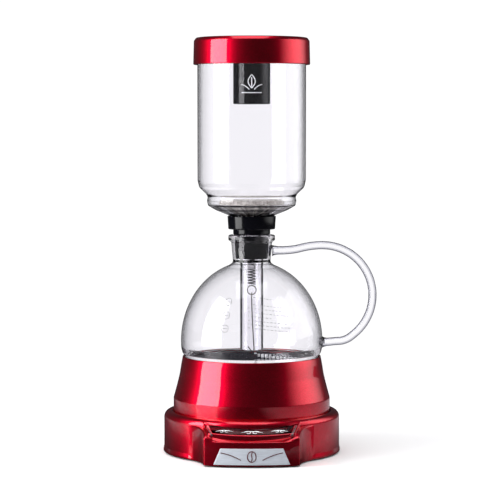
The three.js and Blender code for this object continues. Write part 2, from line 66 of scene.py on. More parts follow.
def softbox(name, azimuth, distance, height, width, tall, radiance, feathered=False):
    """An area light that faces the axis. Azimuth 0 is in front, and 90 is on the left. A
    feathered one fades towards its two upright edges."""
    lamp = bpy.data.lights.new(name, "AREA")
    lamp.shape = "RECTANGLE"
    lamp.size = width
    lamp.size_y = tall
    lamp.energy = radiance * math.pi * width * tall
    light = bpy.data.objects.new(name, lamp)
    turn = math.radians(azimuth)
    light.location = (-distance * math.sin(turn), -distance * math.cos(turn), height)
    target = Vector((0, 0, 0.17 if height > 1 else height))
    light.rotation_euler = (target - light.location).to_track_quat("-Z", "Y").to_euler()
    light.visible_camera = False
    bpy.context.scene.collection.objects.link(light)
    if feathered:
        lamp.use_nodes = True
        tree = lamp.node_tree
        across = tree.nodes.new("ShaderNodeNewGeometry")
        split = tree.nodes.new("ShaderNodeSeparateXYZ")
        fade = tree.nodes.new("ShaderNodeValToRGB")
        fade.color_ramp.interpolation = "EASE"
        fade.color_ramp.elements[0].color = (0, 0, 0, 1)
        fade.color_ramp.elements[1].color = (0, 0, 0, 1)
        fade.color_ramp.elements.new(0.5).color = (1, 1, 1, 1)
        tree.links.new(across.outputs["Parametric"], split.inputs["Vector"])
        tree.links.new(split.outputs["X"], fade.inputs["Fac"])
        tree.links.new(fade.outputs["Color"], tree.nodes["Emission"].inputs["Strength"])
    return light


softbox("softbox_left", azimuth=67, distance=0.6, height=0.4, width=0.4, tall=0.76, radiance=6.5)
softbox("softbox_right", azimuth=-94, distance=0.7, height=0.45, width=1.25, tall=0.7, radiance=1.7, feathered=True)
softbox("softbox_top", azimuth=10, distance=0.25, height=1.5, width=1.0, tall=1.0, radiance=2.0)

world = bpy.data.worlds.new("studio")
world.use_nodes = True
bpy.context.scene.world = world
air = world.node_tree
background = air.nodes["Background"]
path = air.nodes.new("ShaderNodeLightPath")
shade = air.nodes.new("ShaderNodeMix")
shade.data_type = "RGBA"
shade.inputs[6].default_value = (1.05, 1.05, 1.05, 1)
shade.inputs[7].default_value = (0.035, 0.035, 0.04, 1)
inside_glass = air.nodes.new("ShaderNodeMath")
inside_glass.operation = "COMPARE"
inside_glass.inputs[1].default_value = 2
inside_glass.inputs[2].default_value = 1.5
behind_glass = air.nodes.new("ShaderNodeMapRange")
behind_glass.inputs["To Min"].default_value = 1
behind_glass.inputs["To Max"].default_value = 0.5
darkened = air.nodes.new("ShaderNodeMath")
darkened.operation = "MULTIPLY"
darkened.use_clamp = True
air.links.new(path.outputs["Transmission Depth"], inside_glass.inputs[0])
air.links.new(inside_glass.outputs["Value"], behind_glass.inputs["Value"])
air.links.new(behind_glass.outputs["Result"], darkened.inputs[0])
air.links.new(path.outputs["Glossy Depth"], darkened.inputs[1])
air.links.new(darkened.outputs["Value"], shade.inputs[0])
air.links.new(shade.outputs[2], background.inputs["Color"])

FLOOR_R = 0.5
floor_bm = bmesh.new()
bmesh.ops.create_circle(floor_bm, cap_ends=True, segments=96, radius=FLOOR_R)
floor_mesh = bpy.data.meshes.new("floor")
floor_bm.to_mesh(floor_mesh)
floor_bm.free()
floor = bpy.data.objects.new("floor", floor_mesh)
floor.location.z = -0.0002
bpy.context.scene.collection.objects.link(floor)
# The floor is plain pale to the eye. What reflections show of it is painted: dark across the middle in X and pale
# towards both sides, a painted reflection that shapes the lacquer's highlights.
paper = bpy.data.materials.new("pale_floor")
paper.use_nodes = True
tree = paper.node_tree
matt = tree.nodes.new("ShaderNodeBsdfDiffuse")
mirrored = tree.nodes.new("ShaderNodeLightPath")
floor_and_painted_reflection = tree.nodes.new("ShaderNodeMix")
floor_and_painted_reflection.data_type = "RGBA"
floor_and_painted_reflection.inputs[6].default_value = (0.93, 0.93, 0.94, 1)
across = tree.nodes.new("ShaderNodeTexCoord")
sideways = tree.nodes.new("ShaderNodeSeparateXYZ")
# Painted reflection: the floor's colour as reflections see it, by X.
painted_reflection_tone = tree.nodes.new("ShaderNodeValToRGB")
painted_reflection_tone.color_ramp.elements[0].position = 0.22
painted_reflection_tone.color_ramp.elements[0].color = (0.95, 0.9, 0.95, 1)
painted_reflection_tone.color_ramp.elements[1].position = 0.66
painted_reflection_tone.color_ramp.elements[1].color = (0.95, 0.9, 0.95, 1)
painted_reflection_tone.color_ramp.elements.new(0.3).color = (0.1, 0.08, 0.1, 1)
painted_reflection_tone.color_ramp.elements.new(0.42).color = (0.03, 0.03, 0.033, 1)
painted_reflection_tone.color_ramp.elements.new(0.56).color = (0.04, 0.04, 0.044, 1)
tree.links.new(across.outputs["Generated"], sideways.inputs["Vector"])
tree.links.new(sideways.outputs["X"], painted_reflection_tone.inputs["Fac"])
tree.links.new(painted_reflection_tone.outputs["Color"], floor_and_painted_reflection.inputs[7])
tree.links.new(mirrored.outputs["Glossy Depth"], floor_and_painted_reflection.inputs[0])
tree.links.new(floor_and_painted_reflection.outputs[2], matt.inputs["Color"])
gloss = tree.nodes.new("ShaderNodeBsdfAnisotropic")
gloss.inputs["Roughness"].default_value = 0.2
both = tree.nodes.new("ShaderNodeMixShader")
both.inputs["Fac"].default_value = 0.22
tree.links.new(matt.outputs["BSDF"], both.inputs[1])
tree.links.new(gloss.outputs["BSDF"], both.inputs[2])
tree.links.new(both.outputs["Shader"], tree.nodes["Material Output"].inputs["Surface"])
floor_mesh.materials.append(paper)


# Base housing. One moulding in red metallic lacquer: a round body with a rolled rim round the
# jug's recess, and a nose in front with a raised tier that carries the window. Glued up here
# from a turned body and two drawn-up blocks, with the hollow and the inlet's opening cut out.
BASE_R = 72.6
RIM_Z = 34.6
RECESS_R = 65.6
RECESS_Z = 31
WALL_Z = 29.3
BASE_Z = 1.0
WALL = 2.6
NOSE_HALF = 38
NOSE_Y = -87.5
NOSE_Z = 20.4
NOSE_FRONT_R = 134
NOTCH_R = 45.4
FRONT_CENTRE = NOSE_Y + NOSE_FRONT_R
PANEL_SLOPE = 0.32


def rounded(points, closed=False, steps=5):
    """An outline of (x, z) points. A third number is the radius that rounds that corner off."""
    line = []
    for i, point in enumerate(points):
        here = Vector(point[:2])
        if len(point) < 3 or (not closed and i in (0, len(points) - 1)):
            line.append(here)
            continue
        before = Vector(points[i - 1][:2]) - here
        after = Vector(points[(i + 1) % len(points)][:2]) - here
        half = before.angle(after) / 2
        reach = min(point[2] / math.tan(half), 0.49 * before.length, 0.49 * after.length)
        middle = (before.normalized() + after.normalized()).normalized()
        centre = here + middle * reach / math.cos(half)
        start = here + before.normalized() * reach - centre
        end = here + after.normalized() * reach - centre
        for k in range(steps + 1):
            spoke = start.lerp(end, k / steps)
            line.append(centre + spoke.normalized() * start.length)
    return line


def arc(centre, radii, start, end, steps):
    """Points along an ellipse's arc, in degrees."""
    turns = [math.radians(start + (end - start) * k / steps) for k in range(steps + 1)]
    return [(centre[0] + radii[0] * math.cos(a), centre[1] + radii[1] * math.sin(a)) for a in turns]


def finished(name, bm, crease=32):
    """Closes the seams, turns the faces outwards and makes the piece."""
    bmesh.ops.remove_doubles(bm, verts=bm.verts, dist=2e-6)
    bmesh.ops.recalc_face_normals(bm, faces=bm.faces)
    mesh = bpy.data.meshes.new(name)
    bm.to_mesh(mesh)
    bm.free()
    piece = bpy.data.objects.new(name, mesh)
    bpy.context.scene.collection.objects.link(piece)
    smooth(piece, crease)
    return piece


def smooth(piece, crease=32):
    piece.data.polygons.foreach_set("use_smooth", [True] * len(piece.data.polygons))
    piece.data.set_sharp_from_angle(angle=math.radians(crease))


def turned(name, profile, closed=True, steps=144, crease=32):
    """Spins an outline of (radius, height) in millimetres round the upright axis."""
    bm = bmesh.new()
    verts = [bm.verts.new((point[0] * MM, 0, point[1] * MM)) for point in profile]
    ends = verts[1:] + verts[:1] if closed else verts[1:]
    edges = [bm.edges.new(pair) for pair in zip(verts, ends)]
    bmesh.ops.spin(
        bm, geom=verts + edges, cent=(0, 0, 0), axis=(0, 0, 1), angle=2 * math.pi, steps=steps,
        use_merge=True,
    )
    return finished(name, bm, crease)


def drawn_up(name, rows, crease=32):
    """A closed solid through rows of points in millimetres, one above the other, capped."""
    bm = bmesh.new()
    verts = [bm.verts.new(Vector(point) * MM) for point in rows[0]]
    bm.faces.new(verts)
    ring = list(bm.edges)
    for row in rows[1:]:
        made = bmesh.ops.extrude_edge_only(bm, edges=ring)["geom"]
        ring = [item for item in made if isinstance(item, bmesh.types.BMEdge)]
        fresh = {item for item in made if isinstance(item, bmesh.types.BMVert)}
        lifted = []
        for vert, point in zip(verts, row):
            above = next(e.other_vert(vert) for e in vert.link_edges if e.other_vert(vert) in fresh)
            above.co = Vector(point) * MM
            lifted.append(above)
        verts = lifted
    bm.faces.new(verts)
    return finished(name, bm, crease)


def applied(piece):
    """Makes the piece's modifiers part of its mesh."""
    bpy.context.view_layer.update()
    shaped = piece.evaluated_get(bpy.context.evaluated_depsgraph_get())
    mesh = bpy.data.meshes.new_from_object(shaped)
    piece.modifiers.clear()
    piece.data = mesh
    return piece


def combined(piece, other, operation):
    """Joins another solid to the piece, or cuts it out of it."""
    change = piece.modifiers.new(operation.lower(), "BOOLEAN")
    change.operation = operation
    change.solver = "EXACT"
    change.object = other
    applied(piece)
    bpy.data.objects.remove(other)
    return piece


def nose_outline(inset, steps=14):
    """The nose from the round wall on the right, round the front, to the wall on the left."""
    notch = NOTCH_R + inset
    centre = (BASE_R + NOTCH_R) * math.sqrt(0.5)
    front = NOSE_FRONT_R - inset
    corner_x = NOSE_HALF - inset
    corner_y = FRONT_CENTRE - math.sqrt(front ** 2 - corner_x ** 2)
    end = math.degrees(math.asin((corner_y + centre) / notch))
    turn = math.degrees(math.asin(corner_x / front))
    right = arc((centre, -centre), (notch, notch), 135, 180 - end, steps)
    face = arc((0, FRONT_CENTRE), (front, front), -90 + turn, -90 - turn, 2 * steps)[1:-1]
    left = [(-x, y) for x, y in reversed(right)]
    right[-1] = (*right[-1], 0.8)
    left[0] = (*left[0], 0.8)
    around = rounded([(30, -38)] + right + face + left + [(-30, -38)], steps=4)
    return [(point[0], point[1]) for point in around]


def crown(y):
    """The height of the nose's top, which falls away to the front like a quarter of an ellipse."""
    reach = min(1.0, max(0.0, (-52 - y) / 31))
    return NOSE_Z + (WALL_Z - NOSE_Z) * math.sqrt(1 - reach ** 2)


def panel(y):
    """The height of the sloped panel."""
    return 28.8 + PANEL_SLOPE * (y + 72.6)


def soft_topped(outline, low, top, edge, steps=4):
    """Rows for a block with an upright wall and a rolled upper edge."""
    rows = [[(x, y, low) for x, y in outline(0)]]
    for k in range(steps + 1):
        turn = math.pi / 2 * k / steps
        inset = edge * (1 - math.cos(turn))
        drop = edge * (1 - math.sin(turn))
        rows.append([(x, y, top(y) - drop) for x, y in outline(inset)])
    return rows


def tier_outline(inset, steps=28):
    """The tier's outline: a curved front and sides that open out towards the back."""
    r = FRONT_CENTRE + 84.5 - inset
    turn = math.degrees(math.asin((34.6 - inset) / r))
    face = arc((0, FRONT_CENTRE), (r, r), -90 + turn, -90 - turn, steps)
    face[0] = (*face[0], 1.4)
    face[-1] = (*face[-1], 1.4)
    around = rounded([(40.6 - inset, -54)] + face + [(inset - 40.6, -54)], steps=4)
    return [(point[0], point[1]) for point in around]


def window_outline(grow, steps=28):
    """The window's outline: its front on the nose's curve and its back on a flatter arc."""
    r = FRONT_CENTRE + 81 + grow
    turn = math.degrees(math.asin((30.6 + grow) / r))
    back = 99 - grow
    back_turn = math.degrees(math.asin((34.9 + grow) / back))
    face = arc((0, FRONT_CENTRE), (r, r), -90 + turn, -90 - turn, steps)
    return face + arc((0, 23.7), (back, back), -90 - back_turn, -90 + back_turn, steps)


def block(name, low, high):
    """A plain block between two corners in millimetres, to cut with."""
    (x0, y0, z0), (x1, y1, z1) = low, high
    corners = [(x0, y0), (x1, y0), (x1, y1), (x0, y1)]
    return drawn_up(name, [[(x, y, z) for x, y in corners] for z in (z0, z1)])


rim = arc((67, WALL_Z), (5.6, RIM_Z - WALL_Z), 0, 90, 10)
housing = turned("housing_shell", rounded(
    [(0, BASE_Z), (73.2, BASE_Z, 0.5), (73.2, 2.6, 0.8), (BASE_R, 5.4, 1.5)]
    + rim + [(RECESS_R, RIM_Z, 0.8), (RECESS_R, RECESS_Z, 0.6), (16.1, RECESS_Z, 0.4), (16.1, 24), (0, 24)]
), closed=False)
nose_rows = soft_topped(nose_outline, BASE_Z, crown, 1.1)
nose = drawn_up("nose", nose_rows[:-1] + [[(x, y, crown(y)) for x, y, z in nose_rows[-1]]])
tier = drawn_up("tier", soft_topped(tier_outline, 15, panel, 0.9))
combined(tier, turned("recess", [(0, RECESS_Z), (RECESS_R, RECESS_Z), (RECESS_R, 50), (0, 50)], closed=False), "DIFFERENCE")
combined(nose, tier, "UNION")
combined(nose, turned("recess", [(0, 24), (RECESS_R - 2, 24), (RECESS_R - 2, 50), (0, 50)], closed=False), "DIFFERENCE")
combined(housing, nose, "UNION")
seat = window_outline(2.3)
combined(housing, drawn_up("seat", [
    [(x, y, panel(y) - 1.4) for x, y in seat], [(x, y, panel(y) + 6) for x, y in seat],
]), "DIFFERENCE")
combined(housing, turned("hollow", [(0, -1), (BASE_R - WALL, -1), (BASE_R - WALL, 17), (0, 17)], closed=False), "DIFFERENCE")
combined(housing, block("inlet_opening", (-13.9, 52, 5.1), (13.9, 80, 24.9)), "DIFFERENCE")
smooth(housing)


def new_finish(name):
    """A node material, with its tree and its shader."""
    material = bpy.data.materials.new(name)
    material.use_nodes = True
    tree = material.node_tree
    return material, tree, tree.nodes["Principled BSDF"]


def textured(tree, kind, scale, **settings):
    """A texture node on the object's own coordinates, in metres."""
    place = tree.nodes.new("ShaderNodeTexCoord")
    texture = tree.nodes.new(kind)
    texture.inputs["Scale"].default_value = scale
    for key, value in settings.items():
        texture.inputs[key].default_value = value
    tree.links.new(place.outputs["Object"], texture.inputs["Vector"])
    return texture


def ramped(tree, source, low, high, dark, light):
    """A colour that runs from dark to light between two values of the source."""
    ramp = tree.nodes.new("ShaderNodeValToRGB")
    ramp.color_ramp.elements[0].position = low
    ramp.color_ramp.elements[1].position = high
    ramp.color_ramp.elements[0].color = (*dark, 1)
    ramp.color_ramp.elements[1].color = (*light, 1)
    tree.links.new(source, ramp.inputs["Fac"])
    return ramp.outputs["Color"]


def spread(tree, source, low, high):
    """A number from low to high as the source goes from 0 to 1."""
    span = tree.nodes.new("ShaderNodeMapRange")
    span.inputs["To Min"].default_value = low
    span.inputs["To Max"].default_value = high
    tree.links.new(source, span.inputs["Value"])
    return span.outputs["Result"]


def bumped(tree, shader, source, distance, strength=0.5):
    bump = tree.nodes.new("ShaderNodeBump")
    bump.inputs["Distance"].default_value = distance
    bump.inputs["Strength"].default_value = strength
    tree.links.new(source, bump.inputs["Height"])
    tree.links.new(bump.outputs["Normal"], shader.inputs["Normal"])


def lacquer(name):
    """Candy red: a metallic flake ground under a clear coat."""
    material, tree, shader = new_finish(name)
    flakes = textured(tree, "ShaderNodeTexVoronoi", 2600)
    cloud = textured(tree, "ShaderNodeTexNoise", 40, Detail=4)
    colour = ramped(tree, flakes.outputs["Color"], 0.1, 0.9, (0.56, 0.0, 0.012), (0.86, 0.002, 0.036))
    tree.links.new(colour, shader.inputs["Base Color"])
    tree.links.new(spread(tree, cloud.outputs["Fac"], 0.3, 0.38), shader.inputs["Roughness"])
    shader.inputs["Metallic"].default_value = 1
    shader.inputs["Coat Weight"].default_value = 1
    shader.inputs["Coat Roughness"].default_value = 0.025
    bumped(tree, shader, flakes.outputs["Distance"], 0.00002, 0.12)
    return material


red_plastic = lacquer("red_lacquer_plastic")


def fitted(piece, body, slot, material, *nodes):
    """Fixes the piece to its body, in its finish, in place of the nodes that it stands for."""
    piece.data.materials.clear()
    piece.data.materials.append(material)
    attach(piece, body)
    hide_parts(*nodes)
    return piece


fitted(housing, "power_base", "red_plastic", red_plastic, "base_housing")


# Underside. A black moulded cover with a hub, held by four screws, and four rubber feet. The
# nodes keep their shapes, and take a moulded grain, rubber and plain zinc.
def moulded(name, colour, roughness, grain=900, depth=0.00003, shine=0.5):
    """A fine grained moulding."""
    material, tree, shader = new_finish(name)
    speckle = textured(tree, "ShaderNodeTexNoise", grain, Detail=3)
    cloud = textured(tree, "ShaderNodeTexNoise", 35, Detail=2)
    lighter = [c * 1.5 + 0.001 for c in colour]
    tree.links.new(ramped(tree, cloud.outputs["Fac"], 0.3, 0.7, colour, lighter), shader.inputs["Base Color"])
    tree.links.new(
        spread(tree, speckle.outputs["Fac"], roughness * 0.8, roughness * 1.2), shader.inputs["Roughness"]
    )
    bumped(tree, shader, speckle.outputs["Fac"], depth)
    shader.inputs["Specular IOR Level"].default_value = shine
    return material


black_plastic = moulded("black_moulding", (0.012, 0.012, 0.013), 0.42)
gloss_black = moulded("polished_black", (0.001, 0.001, 0.002), 0.1, 300, 0.000003, 0.4)
rubber = moulded("black_rubber", (0.001, 0.001, 0.002), 0.14, 500, 0.000004, 0.3)


def repainted(material, *nodes):
    """Gives CAD nodes a finish."""
    for node in nodes:
        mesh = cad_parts[node].data
        mesh.materials.clear()
        mesh.materials.append(material)


def brushed(name, colour, roughness, stretch, metallic=1):
    """Metal with fine scratches; stretch is how the grain is squeezed along X, Y and Z."""
    material, tree, shader = new_finish(name)
    place = tree.nodes.new("ShaderNodeTexCoord")
    squeeze = tree.nodes.new("ShaderNodeMapping")
    squeeze.inputs["Scale"].default_value = stretch
    grain = tree.nodes.new("ShaderNodeTexNoise")
    grain.inputs["Scale"].default_value = 1
    grain.inputs["Detail"].default_value = 3
    tree.links.new(place.outputs["Object"], squeeze.inputs["Vector"])
    tree.links.new(squeeze.outputs["Vector"], grain.inputs["Vector"])
    darker = [c * 0.8 for c in colour]
    tree.links.new(ramped(tree, grain.outputs["Fac"], 0.3, 0.7, darker, colour), shader.inputs["Base Color"])
    tree.links.new(
        spread(tree, grain.outputs["Fac"], roughness * 0.7, roughness * 1.3), shader.inputs["Roughness"]
    )
    shader.inputs["Metallic"].default_value = metallic
    bumped(tree, shader, grain.outputs["Fac"], 0.00001, 0.3)
    return material


satin_steel = brushed("satin_steel", (0.72, 0.73, 0.75), 0.28, (120, 3000, 3000))
# Painted shade: the stainless spring, split ring and hook wire take a near black steel, for the shade they lie in
# behind the glass.
painted_shade_steel = brushed("painted_shade_steel", (0.09, 0.08, 0.085), 0.3, (900, 900, 900))
bright_steel = brushed("bright_steel", (0.82, 0.82, 0.84), 0.09, (400, 400, 400))
brass = brushed("brass", (0.78, 0.58, 0.3), 0.3, (600, 900, 2500))
repainted(black_plastic, "base_cover")
repainted(rubber, "foot_1", "foot_2", "foot_3", "foot_4")
repainted(bright_steel, "base_screw_1", "base_screw_2", "base_screw_3", "base_screw_4")

# Control window. A smoked acrylic pane set flush in the tier, with three silver scroll ornaments
# printed on it and a slanted silver trim at each end.
smoked, tree, shader = new_finish("smoked_acrylic")
cloud = textured(tree, "ShaderNodeTexNoise", 60, Detail=2)
tree.links.new(
    ramped(tree, cloud.outputs["Fac"], 0.3, 0.7, (0.012, 0.008, 0.01), (0.03, 0.02, 0.024)),
    shader.inputs["Base Color"],
)
tree.links.new(spread(tree, cloud.outputs["Fac"], 0.05, 0.09), shader.inputs["Roughness"])
shader.inputs["Coat Weight"].default_value = 0.6
shader.inputs["Coat Roughness"].default_value = 0.03


def side_line(y, gap):
    """How far out the window's slanted end is at a depth y."""
    return 30.6 + gap + 0.229 * (y + 83)


def pane_outline(inset):
    """The pane between the two trims."""
    points = []
    for x, y in window_outline(2 - inset):
        edge = side_line(y, -inset)
        points.append((max(-edge, min(edge, x)), y))
    return points


def pane_rows(outline, low, high, edge):
    rows = [[(x, y, panel(y) + low) for x, y in outline(0)]]
    for k in range(4):
        turn = math.pi / 2 * k / 3
        inset = edge * (1 - math.cos(turn))
        rows.append([(x, y, panel(y) + high - edge * (1 - math.sin(turn))) for x, y in outline(inset)])
    return rows


pane = drawn_up("window_pane", pane_rows(pane_outline, -1.1, 0.0, 0.3))
fitted(pane, "power_base", "panel_window", smoked, "control_window")


def trim(name, side):
    def outline(inset):
        front, back = -82.2 + inset, -66.9 - inset
        corners = [(front, 0.3 + inset), (front, 1.9 - inset), (back, 1.9 - inset), (back, 0.3 + inset)]
        return [(side * (side_line(y, gap)), y) for y, gap in corners]

    piece = drawn_up(name, pane_rows(outline, -1.1, 0.3, 0.25))
    return fitted(piece, "power_base", "satin_steel", satin_steel, f"window_{name}")


trim("trim_left", -1)
trim("trim_right", 1)


def wire(name, lines, radius, sides=2, cyclic=False, smooth_curve=True):
    """A round wire along one or more lines of points in millimetres."""
    curve = bpy.data.curves.new(name, "CURVE")
    curve.dimensions = "3D"
    curve.bevel_depth = radius * MM
    curve.bevel_resolution = sides
    curve.use_fill_caps = True
    curve.resolution_u = 5
    for points in lines:
        spline = curve.splines.new("BEZIER" if smooth_curve else "POLY")
        knots = spline.bezier_points if smooth_curve else spline.points
        knots.add(len(points) - 1)
        for knot, point in zip(knots, points):
            place = Vector(point[:3]) * MM
            knot.co = place if smooth_curve else (*place, 1)
            knot.radius = point[3] if len(point) > 3 else 1
            if smooth_curve:
                knot.handle_left_type = "AUTO"
                knot.handle_right_type = "AUTO"
        spline.use_cyclic_u = cyclic
    shaped = bpy.data.objects.new(name + "_line", curve)
    bpy.context.scene.collection.objects.link(shaped)
    bpy.context.view_layer.update()
    mesh = bpy.data.meshes.new_from_object(shaped.evaluated_get(bpy.context.evaluated_depsgraph_get()))
    bpy.data.objects.remove(shaped)
    bm = bmesh.new()
    bm.from_mesh(mesh)
    return finished(name, bm, 50)


def scroll(centre, y, size, side):
    """A curl of a generic scroll ornament, on the sloped pane."""
    points = []
    for k in range(15):
        turn = 0.5 + k * 0.42
        r = size * (1 - k / 17)
        px = centre + side * (size * 0.9 + r * math.cos(turn) * 1.0)
        py = y + r * 0.8 * math.sin(turn)
        points.append((px, py, panel(py) + 0.02, 1.2 - k * 0.05))
    return points


curls = []
for centre, size in ((-22, 2.6), (0, 3.4), (22, 2.6)):
    middle_y = -79.4 + abs(centre) * 0.1
    for side in (-1, 1):
        curls.append(scroll(centre, middle_y, size, side))
        stem = [(centre + side * t * size * 2.6, middle_y + 2.2 - 2.0 * t * t, 0) for t in (0, 0.35, 0.7, 1.0)]
        curls.append([(x, y, panel(y) + 0.02, 1.2 - 0.9 * i / 3) for i, (x, y, z) in enumerate(stem)])
silver_ink = moulded("silver_ink", (0.7, 0.7, 0.72), 0.4)
ornament = wire("window_ornament", curls, 0.26, 1)
ornament.data.materials.append(silver_ink)
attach(ornament, "power_base")

# Badge. A thin brushed plate with slanted ends, bent to the nose's curve and stuck on, with a
# generic bean mark and two thin red lines.
badge_bm = bmesh.new()
bmesh.ops.create_grid(badge_bm, x_segments=40, y_segments=8, size=1)
for vert in badge_bm.verts:
    u, v = vert.co.x, (vert.co.y + 1) / 2
    x, z = u * (30.3 - 5.5 * v), 2.2 + 13.1 * v
    vert.co = Vector((x, FRONT_CENTRE - math.sqrt((NOSE_FRONT_R + 0.35) ** 2 - x ** 2), z)) * MM
badge = finished("badge_plate", badge_bm)
thickness = badge.modifiers.new("thickness", "SOLIDIFY")
thickness.thickness = 0.7 * MM
thickness.offset = 1
edge = badge.modifiers.new("edge", "BEVEL")
edge.width = 0.22 * MM
edge.segments = 2
applied(badge)
smooth(badge)
badge_steel = brushed("brushed_badge", (0.7, 0.75, 0.83), 0.42, (60, 900, 2600), 0.5)
fitted(badge, "power_base", "satin_steel", badge_steel, "front_badge")


def on_badge(x, z, proud=1.06):
    return (x, FRONT_CENTRE - math.sqrt((NOSE_FRONT_R + proud) ** 2 - x ** 2), z)


lines = []
for side in (-1, 1):
    lines.append([on_badge(side * x, z) for x, z in ((24.5, 11.8), (19, 10.6), (13.5, 8.6), (8.5, 6.2))])
bean = [on_badge(3.4 * math.cos(a), 8.9 + 4.2 * math.sin(a)) for a in (k * math.pi / 6 for k in range(12))]
red_print = moulded("dark_red_print", (0.05, 0.002, 0.006), 0.35)
badge_lines = wire("badge_lines", lines, 0.38, 1)
badge_lines.data.materials.append(red_print)
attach(badge_lines, "power_base")
badge_mark = wire("badge_mark", [bean + [bean[0]], [on_badge(0.7 * math.sin(t * 1.9), 8.9 + t) for t in (-3.6, -1.8, 0, 1.8, 3.6)]], 0.42, 1)
badge_mark.data.materials.append(red_print)
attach(badge_mark, "power_base")

# Coupler. The base's half is a black post with ring slots on top; the jug's half is a cup with
# an earth pin and a ring contact. Turned mouldings and brass.
post = turned("coupler_post", rounded([
    (0, 26.4), (23, 26.4), (23, 28.3, 0.3), (15.5, 28.3, 0.6), (15.5, 41.5, 1.1), (9.6, 41.5, 0.5),
    (9.6, 34), (7.2, 34), (7.2, 41.5, 0.5), (2.9, 41.5, 0.5), (2.9, 34), (0, 34),
]), closed=False, steps=96)
fitted(post, "power_base", "black_plastic", black_plastic, "coupler_socket")
cup = turned("coupler_cup", rounded([
    (0, 43), (16.2, 43, 0.5), (16.2, 33.2, 0.5), (21.5, 33.2, 0.8), (21.5, 47, 1.2), (0, 47),
]), closed=False, steps=96)
fitted(cup, "jug", "black_plastic", black_plastic, "coupler_plug")
repainted(brass, "coupler_earth_pin", "coupler_ring_contact", "inlet_pin_live", "inlet_pin_neutral", "inlet_pin_earth")

# Mains inlet. A black moulded socket in the back wall with bevelled upper corners round its
# mouth, and three pins inside.
inlet = block("inlet_socket", (-13.6, 52.3, 5.4), (13.6, 73.4, 24.6))
bevelled = inlet.modifiers.new("edge", "BEVEL")
bevelled.width = 0.8 * MM
bevelled.segments = 3
applied(inlet)
mouth = rounded([(-11.5, 8, 1), (11.5, 8, 1), (11.5, 18.4, 1), (7.9, 22, 1), (-7.9, 22, 1), (-11.5, 18.4, 1)], closed=True)
combined(inlet, drawn_up("mouth", [[(x, y, z) for x, z in mouth] for y in (56, 80)]), "DIFFERENCE")
smooth(inlet)
fitted(inlet, "power_base", "black_plastic", black_plastic, "inlet_housing")
board = moulded("green_board", (0.02, 0.14, 0.05), 0.4)
repainted(board, "control_board")

# Jacket. A flared skirt of drawn steel in the same red lacquer, with a rolled upper edge that
# holds the flask. It hides the heating unit.
red_steel = lacquer("red_lacquer_steel")
JACKET = [(64.8, 31.9, 0.5), (64.8, 45.0, 4), (62.2, 54.4, 30), (59.8, 63.9, 40), (58.2, 73.8, 20), (57.1, 79.4, 0.7)]
jacket_inner = [(r - 1.4, z) for r, z, soft in JACKET[1:-1]][::-1]
jacket = turned("jacket_skirt", rounded(
    JACKET + [(55.9, 79.5, 0.4), (55.7, 78.6, 0.2)] + jacket_inner + [(63.4, 31.9)], closed=True
))
fitted(jacket, "jug", "red_steel", red_steel, "jacket")
repainted(black_plastic, "jug_bottom", "clamp_ring", "thermostat", "thermal_cutout", "element_lead_left", "element_lead_right")
repainted(bright_steel, "jug_screw_1", "jug_screw_2", "jug_screw_3")
repainted(satin_steel, "heating_element")

# Heating plate. A polished stainless disc that closes the flask from below, on a clear
# silicone seal.
plate = turned("plate_disc", rounded([
    (0, 76.1), (55.4, 76.1, 0.3), (55.4, 77.6, 0.5), (51.5, 77.6, 0.3), (50.6, 77.3, 0.3), (0, 77.3),
]), closed=False)
mirror_steel, tree, shader = new_finish("spun_steel")
rings = textured(tree, "ShaderNodeTexWave", 420)
rings.wave_type = "RINGS"
rings.rings_direction = "Z"
rings.inputs["Distortion"].default_value = 1.5
stains = textured(tree, "ShaderNodeTexNoise", 70, Detail=5)
tree.links.new(
    ramped(tree, stains.outputs["Fac"], 0.35, 0.75, (0.86, 0.86, 0.88), (0.66, 0.64, 0.66)),
    shader.inputs["Base Color"],
)
tree.links.new(spread(tree, rings.outputs["Fac"], 0.07, 0.16), shader.inputs["Roughness"])
shader.inputs["Metallic"].default_value = 1
bumped(tree, shader, rings.outputs["Fac"], 0.000005, 0.3)
fitted(plate, "jug", "bright_steel", mirror_steel, "heating_plate")
seal = turned("seal_ring", arc((53.95, 78.3), (1.3, 0.42), 0, 350, 17))
clear_silicone, tree, shader = new_finish("clear_silicone")
cloud = textured(tree, "ShaderNodeTexNoise", 200, Detail=2)
tree.links.new(
    ramped(tree, cloud.outputs["Fac"], 0.3, 0.7, (0.8, 0.82, 0.83), (0.92, 0.93, 0.93)), shader.inputs["Base Color"]
)
shader.inputs["Roughness"].default_value = 0.4
shader.inputs["Transmission Weight"].default_value = 0.5
fitted(seal, "jug", "silicone", clear_silicone, "flask_seal")


# Flask. Blown clear glass: a dome on a short foot, drawn up to a neck with a rolled lip. The
# handle is a solid glass rod, bent in a bow and fused on at both ends.
def clear_glass(name, painted_edge_shade, clear_to=0.35, dark_from=0.95, line=None):
    """Clear glass with painted shade: its colour darkens where the wall is seen edge on. A line is a painted grey
    streak of shade between the middle and the dark edge.
    """
    material, tree, shader = new_finish(name)
    facing = tree.nodes.new("ShaderNodeLayerWeight")
    facing.inputs["Blend"].default_value = 0.5
    # Painted shade: the colour runs from the clear tint to the shade colour as the wall turns edge on.
    tint_and_painted_shade = ramped(tree, facing.outputs["Facing"], clear_to, dark_from, (0.972, 0.964, 0.99), painted_edge_shade)
    # A painted grey streak of shade, where a line is given.
    if line:
        stops = tint_and_painted_shade.node.color_ramp.elements
        stops.new(line).color = [4 * shade for shade in painted_edge_shade] + [1]
        stops.new(line + 0.06).color = (0.9, 0.9, 0.92, 1)
    tree.links.new(tint_and_painted_shade, shader.inputs["Base Color"])
    waves = textured(tree, "ShaderNodeTexNoise", 14, Detail=1)
    bumped(tree, shader, waves.outputs["Fac"], 0.0008, 0.05)
    shader.inputs["Roughness"].default_value = 0
    shader.inputs["IOR"].default_value = 1.4
    shader.inputs["Transmission Weight"].default_value = 1
    return material


